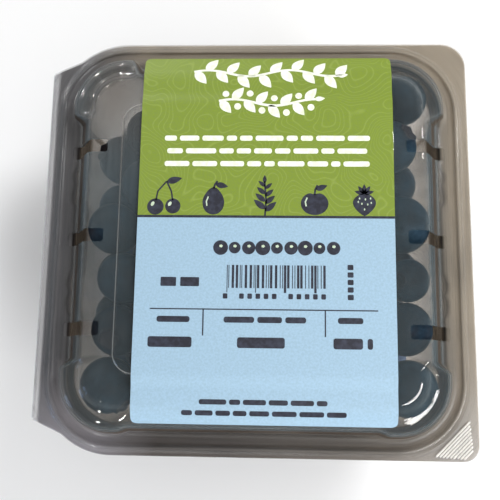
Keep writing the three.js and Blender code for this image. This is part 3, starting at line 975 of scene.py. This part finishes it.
class Nodes:
    """A new material's nodes, with a short call for each common one."""

    def __init__(self, name):
        self.material = bpy.data.materials.new(name)
        self.material.use_nodes = True
        self.tree = self.material.node_tree
        for node in list(self.tree.nodes):
            if node.type != "OUTPUT_MATERIAL":
                self.tree.nodes.remove(node)
        self.place = self.add("TexCoord").outputs["Object"]

    def add(self, kind, inputs=None, **settings):
        node = self.tree.nodes.new("ShaderNode" + kind)
        for key, value in settings.items():
            setattr(node, key, value)
        for key, value in (inputs or {}).items():
            if isinstance(value, bpy.types.NodeSocket):
                self.tree.links.new(value, node.inputs[key])
            else:
                node.inputs[key].default_value = value
        return node

    def output(self, shader):
        """Ends the material in this shader."""
        out = next(n for n in self.tree.nodes if n.type == "OUTPUT_MATERIAL")
        self.tree.links.new(shader, out.inputs["Surface"])
        return self.material

    def solid(self, colour, roughness, more=()):
        """Ends the material in one surface that light doesn't pass."""
        inputs = {"Base Color": colour, "Roughness": roughness} | dict(more)
        return self.output(self.add("BsdfPrincipled", inputs).outputs[0])

    def attribute(self, name):
        return self.add("Attribute", attribute_name=name).outputs["Fac"]

    def maths(self, operation, a, b):
        return self.add("Math", {0: a, 1: b}, operation=operation).outputs[0]

    def times(self, a, b):
        return self.maths("MULTIPLY", a, b)

    def span(self, value, start, end, low=0.0, high=1.0):
        """value taken from start..end to low..high, and kept within it."""
        return self.add("MapRange", {0: value, 1: start, 2: end, 3: low, 4: high}).outputs[0]

    def mix(self, share, a, b):
        """Mix of two colours, each a socket or three numbers."""
        first, second = (c if isinstance(c, bpy.types.NodeSocket) else (*c, 1) for c in (a, b))
        return self.add("Mix", {0: share, 6: first, 7: second}, data_type="RGBA").outputs[2]

    def noise(self, vector, scale, detail=3.0, roughness=0.5):
        inputs = {"Vector": vector, "Scale": scale, "Detail": detail, "Roughness": roughness}
        return self.add("TexNoise", inputs).outputs[0]


def out_from_square(x, y, half):
    """How far points lie outside a square of this half-size, which is below nothing inside it."""
    out_x, out_y = np.abs(x) - half, np.abs(y) - half
    return np.where((out_x > 0) & (out_y > 0), np.hypot(out_x, out_y), np.maximum(out_x, out_y))


def mark_sheet(obj, **rules):
    """Stores each point's distance out from the core square, its place round it, and each rule's value."""
    mesh = obj.data
    places = np.zeros(len(mesh.vertices) * 3)
    mesh.vertices.foreach_get("co", places)
    x, y, z = places.reshape(-1, 3).T / MM
    reach = out_from_square(x, y, CORE_HALF)
    marks = {"reach": reach, "around": np.arctan2(y, x) * 60}
    marks |= {name: rule(x, y, z, reach) + 0 * x for name, rule in rules.items()}
    for name, values in marks.items():
        store(mesh, name, values)


def tray_flange(x, y, z, reach):
    return np.clip((reach - 15.4) / 1.2, 0, 1) * np.clip((z - 32.2) / 1, 0, 1)


def tray_haze(x, y, z, reach):
    # Painted shade: the floor's dense dark haze
    floor = np.clip((4 - z) / 2, 0, 1)
    wall = TRAY_WALL_HAZE + (TRAY_FLOOR_HAZE - TRAY_WALL_HAZE) * floor
    return wall + (TRAY_FLANGE_HAZE - wall) * tray_flange(x, y, z, reach)


def tray_thickness_and_shade(x, y, z, reach):
    """The sheet was drawn down from the rim, so it is thickest there: how many more sheets it counts for,
    raised well beyond that as painted shade under the flange.
    """
    return THICK_RIM * np.clip((z - THIN_BELOW) / (THICK_FROM - THIN_BELOW), 0, 1) ** 2


def tray_rim_painted_line(x, y, z, reach):
    """A painted shade line along the rim where the wall turns into the flange."""
    return np.exp(-(((z - TRAY_HEIGHT + 0.7) / 0.5) ** 2)) * np.clip((18.6 - reach) / 0.4, 0, 1)


def lid_flange(x, y, z, reach):
    return np.clip((reach - 15) / 0.6, 0, 1) * np.clip((36.4 - z) / 1, 0, 1)


def lid_wall(x, y, z, reach):
    """The steep wall between the flange and the shoulder."""
    below_ears, above_foot = LID_TOP - 4.2 - z, (z - LID_FLANGE_TOP - 0.4) / 0.6
    return np.clip(below_ears, 0, 1) * np.clip(above_foot, 0, 1) * (reach < 18)


def lid_painted_veil(x, y, z, reach):
    """A painted reflection in the lid over the empty corner, as a grey veil that also darkens what shows
    through.
    """
    return np.exp(-(((x - PAINTED_VEIL_X) / PAINTED_VEIL_WIDTH) ** 2) - ((y - PAINTED_VEIL_Y) / PAINTED_VEIL_LENGTH) ** 2)


def lid_haze(x, y, z, reach):
    on_ribs = (reach > GRIP_FROM - 1) & (z > LID_FLANGE_TOP + 0.03)
    veiled = PAINTED_VEIL_HAZE * lid_painted_veil(x, y, z, reach)
    on_flange = lid_flange(x, y, z, reach)
    inside = LID_HAZE + veiled + LID_WALL_HAZE * lid_wall(x, y, z, reach)
    return inside * (1 - on_flange) + LID_FLANGE_HAZE * on_flange + RIB_FROST_AND_HIGHLIGHT_HAZE * on_ribs


def lid_crease_highlights(x, y, z, reach):
    """Painted highlights: thin light lines where the sheet bends most sharply, round the panel and along the
    foot of the wall.
    """
    panel = out_from_square(x, y, PANEL_CORE) - PANEL_CORNER_R
    foot = np.where(reach < 16.5, reach - 14.9, reach - 17.8)
    at_foot = np.clip((LID_FLANGE_TOP + 0.9 - z) / 0.5, 0, 1)
    return np.exp(-(((panel - 0.25) / 0.2) ** 2)) + 0.6 * np.exp(-((foot / 0.25) ** 2)) * at_foot


def way_through(n, slant):
    """How much more than straight through the sheet veils what is behind it, where it is seen aslant."""
    facing = n.add("LayerWeight", {"Blend": 0.5}).outputs["Facing"]
    cosine = n.maths("MAXIMUM", n.maths("SUBTRACT", 1, facing), LEAST_COSINE)
    return n.maths("POWER", n.maths("DIVIDE", 1, cosine), slant)


def streaks_and_clouds(n):
    """Drawing streaks that run round the sheet's edges, mixed with soft clouds."""
    lines = n.add("CombineXYZ", {
        0: n.times(n.attribute("reach"), 1.7),
        1: n.times(n.attribute("around"), 0.035),
    }).outputs[0]
    streaks = n.noise(lines, 1, 3, 0.6)
    clouds = n.noise(n.place, 38, 3, 0.5)
    return n.maths("ADD", n.times(streaks, 0.6), n.times(clouds, 0.4))


def sheet_shade_and_painted_light(n, shades_and_painted_light, inner_shade):
    """The haze's colour from place to place, before the streaks, with painted light, reflection and shade
    laid on it.
    """
    x, y, _ = n.add("SeparateXYZ", {0: n.place}).outputs
    back, front, left = shades_and_painted_light
    # Painted light and reflection: the flange lighter towards the back and right, darker towards the front
    diagonal = n.maths("ADD", y, n.times(x, 0.8))
    shade = n.mix(n.span(diagonal, -0.075, 0.03), front, back)
    # Painted reflection: darker and bluer on the hinge side
    shade = n.mix(n.span(x, -0.058, -0.038, 0.85, 0), shade, left)
    # A painted pool of light on the front left corner
    to_corner = n.add("VectorMath", {0: n.place, 1: FRONT_LEFT_LIGHT_POOL}, operation="DISTANCE")
    in_painted_light_pool = n.span(to_corner.outputs["Value"], 0.006, 0.024, 0.9, 0)
    shade = n.mix(in_painted_light_pool, shade, FRONT_LEFT_PAINTED_LIGHT)
    # A painted highlight on the strip along the hinge
    shade = n.mix(n.span(x, -0.0682, -0.0674, 0.85, 0), shade, HINGE_STRIP_PAINTED_HIGHLIGHT)
    # Painted reflection: the grey veil over the empty corner
    inner = n.mix(n.attribute("fog"), inner_shade, PAINTED_VEIL_SHADE)
    # Painted shade under the flange, where the wall counts as thick
    inner = n.mix(n.span(n.attribute("thick"), 0, 3), inner, UNDER_FLANGE_PAINTED_SHADE)
    inner = n.mix(n.attribute("wall"), inner, WALL_SHADE)
    shade = n.mix(n.attribute("flange"), inner, shade)
    # Painted shade along the rim's bend
    return n.mix(n.times(n.attribute("fold"), 0.85), shade, RIM_LINE_PAINTED_SHADE)


def clear_material(name, tint, shades_and_painted_light, inner_shade, slant=1, back_share=0.4):
    """Clear sheet with a haze whose colour carries painted light, reflection and shade.

    shades are its flange's colours at the back and right, at the front, and along the hinge; inner_shade is
    the colour inside the flange. slant is how steeply the haze grows where the sheet is seen aslant, and
    back_share how much of the haze's light comes through from behind."""
    n = Nodes(name)
    flange, crease = n.attribute("flange"), n.attribute("crease")
    mottle = streaks_and_clouds(n)
    shade = sheet_shade_and_painted_light(n, shades_and_painted_light, inner_shade)
    dimmed = n.mix(0.4, shade, (0.01, 0.008, 0.01))
    lifted = n.mix(0.4, shade, (1, 0.95, 0.88))
    veil_colour = n.mix(n.span(mottle, 0.3, 0.5), dimmed, shade)
    veil_colour = n.mix(n.span(mottle, 0.52, 0.74, 0, 0.3), veil_colour, lifted)
    # Painted highlight along the creases
    veil_colour = n.mix(n.times(crease, 0.8), veil_colour, CREASE_PAINTED_HIGHLIGHT)
    way = n.times(way_through(n, slant), n.maths("ADD", 1, n.attribute("thick")))
    passed = n.add("CombineColor", {i: n.maths("POWER", c, way) for i, c in enumerate(tint)})
    passed = n.mix(flange, passed.outputs[0], FLANGE_TINT)
    see_through = n.add("BsdfTransparent", {"Color": passed}).outputs[0]
    lit = n.add("BsdfPrincipled", {"Base Color": veil_colour, "Roughness": 0.4}).outputs[0]
    back_lit = n.add("BsdfTranslucent", {"Color": veil_colour}).outputs[0]
    body = n.add("MixShader", {0: back_share, 1: lit, 2: back_lit}).outputs[0]
    haze = n.times(n.attribute("haze"), n.span(mottle, 0.25, 0.75, 0.85, 1.15))
    haze = n.maths("MAXIMUM", haze, n.times(n.attribute("fold"), 0.6))
    haze = n.maths("MAXIMUM", haze, n.times(crease, 0.4))
    haze = n.maths("SUBTRACT", 1, n.maths("POWER", n.maths("SUBTRACT", 1, haze), way))
    veil = n.add("MixShader", {0: haze, 1: see_through, 2: body}).outputs[0]
    height = n.times(mottle, n.span(flange, 0, 1, 0.12, 1))
    bump = n.add("Bump", {"Height": height, "Strength": 0.35, "Distance": 0.0003}).outputs[0]
    polish = n.span(flange, 0, 1, 0.035, 0.22)
    gloss = n.add("BsdfGlossy", {"Color": (1, 1, 1, 1), "Roughness": polish, "Normal": bump})
    edge = n.add("Fresnel", {"IOR": SHEET_IOR, "Normal": bump}).outputs[0]
    edge = n.maths("MINIMUM", edge, MOST_GLOSS)
    return n.output(n.add("MixShader", {0: edge, 1: veil, 2: gloss.outputs[0]}).outputs[0])


def berry_material():
    """Dark skin with patches of pale bloom, left off the berries on top as painted shade, so that they stay
    dark.
    """
    n = Nodes("blueberry_skin")
    patches = n.noise(n.place, 130, 4, 0.6)
    specks = n.noise(n.place, 900, 3, 0.6)
    bloom = n.maths("ADD", n.times(patches, 0.8), n.times(specks, 0.2))
    amount = n.maths("ADD", bloom, n.times(n.attribute("tone"), 0.22))
    ramp = n.add("ValToRGB", {0: amount})
    stops = ramp.color_ramp.elements
    stops[0].position, stops[0].color = 0.42, (*SKIN_DARK, 1)
    stops[1].position, stops[1].color = 0.84, (*SKIN_LIGHT, 1)
    stops.new(0.6).color = (*SKIN_MIDDLE, 1)
    height = n.add("SeparateXYZ", {0: n.place}).outputs[2]
    # Painted shade: no bloom on the top berries, so they stay dark
    outside_painted_shade = n.span(height, 0.013, 0.024, 1, 0)
    bloomed = n.mix(n.times(outside_painted_shade, patches), ramp.outputs[0], BLOOM)
    skin = n.mix(n.attribute("calyx"), bloomed, CALYX_SHADE)
    bump = n.add("Bump", {"Height": bloom, "Strength": 0.3, "Distance": 0.0004})
    return n.solid(skin, 0.5, {"Specular IOR Level": SKIN_GLOSS, "Normal": bump.outputs[0]})


def core_material():
    n = Nodes("heap_core_dark")
    colour = n.mix(n.noise(n.place, 90), (0.006, 0.01, 0.02), (0.02, 0.035, 0.06))
    return n.solid(colour, 0.7)


def paper_material(name, colour, lighter, lines):
    """Coated paper with a fine grain, and a share of lighter contour lines."""
    n = Nodes(name)
    hills = n.noise(n.place, 62, 1, 0.4)
    saw = n.maths("PINGPONG", n.times(hills, 56), 1)
    grain = n.noise(n.place, 1500, 2, 0.6)
    field = n.mix(n.span(saw, 0, 0.3, lines, 0), colour, lighter)
    dimmed = n.mix(0.16, field, (0.1, 0.14, 0.1))
    field = n.mix(n.span(grain, 0.35, 0.65), dimmed, field)
    bump = n.add("Bump", {"Height": grain, "Strength": 0.2, "Distance": 0.0001})
    return n.solid(field, 0.5, {"Normal": bump.outputs[0]})


def ink_material(name, colour, worn):
    """Flat print whose ink lies a little unevenly."""
    n = Nodes(name)
    field = n.mix(n.span(n.noise(n.place, 700, 3), 0.4, 0.75), colour, worn)
    return n.solid(field, 0.5)


# Setting

def make_floor():
    half = 4000
    corners = [(x * half, y * half, 0) for x, y in ((-1, -1), (1, -1), (1, 1), (-1, 1))]
    floor = mesh_object("floor", corners, [(0, 1, 2, 3)])
    floor.data.materials.append(Nodes("floor_white").solid(FLOOR_WHITE, 0.9))


def area_light(name, place, target, size, power, colour=(1, 1, 1)):
    data = bpy.data.lights.new(name, "AREA")
    data.shape = "RECTANGLE"
    data.size, data.size_y = size[0] * MM, size[1] * MM
    data.energy = power
    data.color = colour
    light = new_object(name, data)
    light.location = Vector(place) * MM
    light.rotation_euler = (Vector(target) - Vector(place)).to_track_quat("-Z", "Y").to_euler()
    return light


def make_lights():
    world = bpy.data.worlds.new("world")
    bpy.context.scene.world = world
    world.use_nodes = True
    background = world.node_tree.nodes["Background"]
    background.inputs["Color"].default_value = (1, 0.99, 0.97, 1)
    background.inputs["Strength"].default_value = WORLD_STRENGTH
    middle = (0, 0, 30)
    for name, place, size, power in LIGHTS:
        area_light(name, place, middle, size, power).visible_glossy = False
    area_light("window", (-520, -260, 220), middle, (120, 120), 0.3, (0.4, 0.6, 1))
    for k, (azimuth, tilt, width, depth, power) in enumerate(GLINTS):
        a, t = math.radians(azimuth), math.radians(tilt)
        place = np.array([math.sin(t) * math.cos(a), math.sin(t) * math.sin(a), math.cos(t)]) * GLINT_DISTANCE
        glint = area_light(f"glint_{k}", place, middle, (width, depth), power)
        glint.visible_diffuse = False


def dress(obj, node, slot, body, *materials):
    """Gives obj its materials and body, and the place of a CAD node. slot is not used."""
    faces = obj.data.polygons
    indices = np.zeros(len(faces), np.int32)
    faces.foreach_get("material_index", indices)
    obj.data.materials.clear()
    for made in materials:
        obj.data.materials.append(made)
    faces.foreach_set("material_index", np.minimum(indices, len(materials) - 1))
    if node:
        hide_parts(node)
    if body:
        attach(obj, body)


def main():
    scene = bpy.context.scene
    scene.view_settings.view_transform = "Standard"
    make_camera()
    make_floor()
    make_lights()
    tray_clear = clear_material("tray_clear", TRAY_TINT, TRAY_SHADES_AND_PAINTED_LIGHT, TRAY_INSIDE_PAINTED_SHADE, slant=2)
    lid_clear = clear_material("lid_clear", LID_TINT, LID_SHADES_AND_PAINTED_LIGHT, LID_INNER_SHADE)
    rib_clear = clear_material("rib_clear", RIB_TINT, RIB_FROST_AND_PAINTED_HIGHLIGHT, RIB_INNER_SHADE, back_share=0.1)
    green = paper_material("label_green", GREEN, PALE_GREEN, 0.35)
    blue = paper_material("label_blue", BLUE, BLUE, 0)
    reverse = paper_material("label_reverse", REVERSE, REVERSE, 0)
    white_ink = ink_material("ink_white", (0.86, 0.88, 0.8), (0.7, 0.76, 0.55))
    dark_ink = ink_material("ink_dark", (0.008, 0.009, 0.02), (0.03, 0.035, 0.06))
    pale_ink = ink_material("ink_pale", (0.55, 0.66, 0.5), (0.4, 0.5, 0.35))
    tray, lid = make_tray(), make_lid()
    mark_sheet(tray, haze=tray_haze, flange=tray_flange, fold=tray_rim_painted_line, thick=tray_thickness_and_shade)
    mark_sheet(lid, haze=lid_haze, flange=lid_flange, crease=lid_crease_highlights, fog=lid_painted_veil, wall=lid_wall)
    fold = make_hinge_fold()
    mark_sheet(fold, haze=lambda *place: HINGE_HAZE, flange=lambda *place: 1)
    dress(tray, "tray", "tray_plastic", "base", tray_clear)
    dress(make_berries(), "berries", "berry_skin", "base", berry_material())
    dress(make_heap_core(), "berries", "berry_skin", "base", core_material())
    dress(lid, "lid", "lid_plastic", "cover", lid_clear, rib_clear)
    dress(make_label(), "label", "label_paper", "cover", green, blue, reverse)
    dress(make_print("print_white", white_print(), 0.03), None, "label_paper", "cover", white_ink)
    dress(make_print("print_dark", dark_print(), 0.03), None, "label_paper", "cover", dark_ink)
    dress(make_print("print_pale", light_print(), 0.06), None, "label_paper", "cover", pale_ink)
    dress(fold, None, "tray_plastic", None, tray_clear)
    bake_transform(fold)


main()
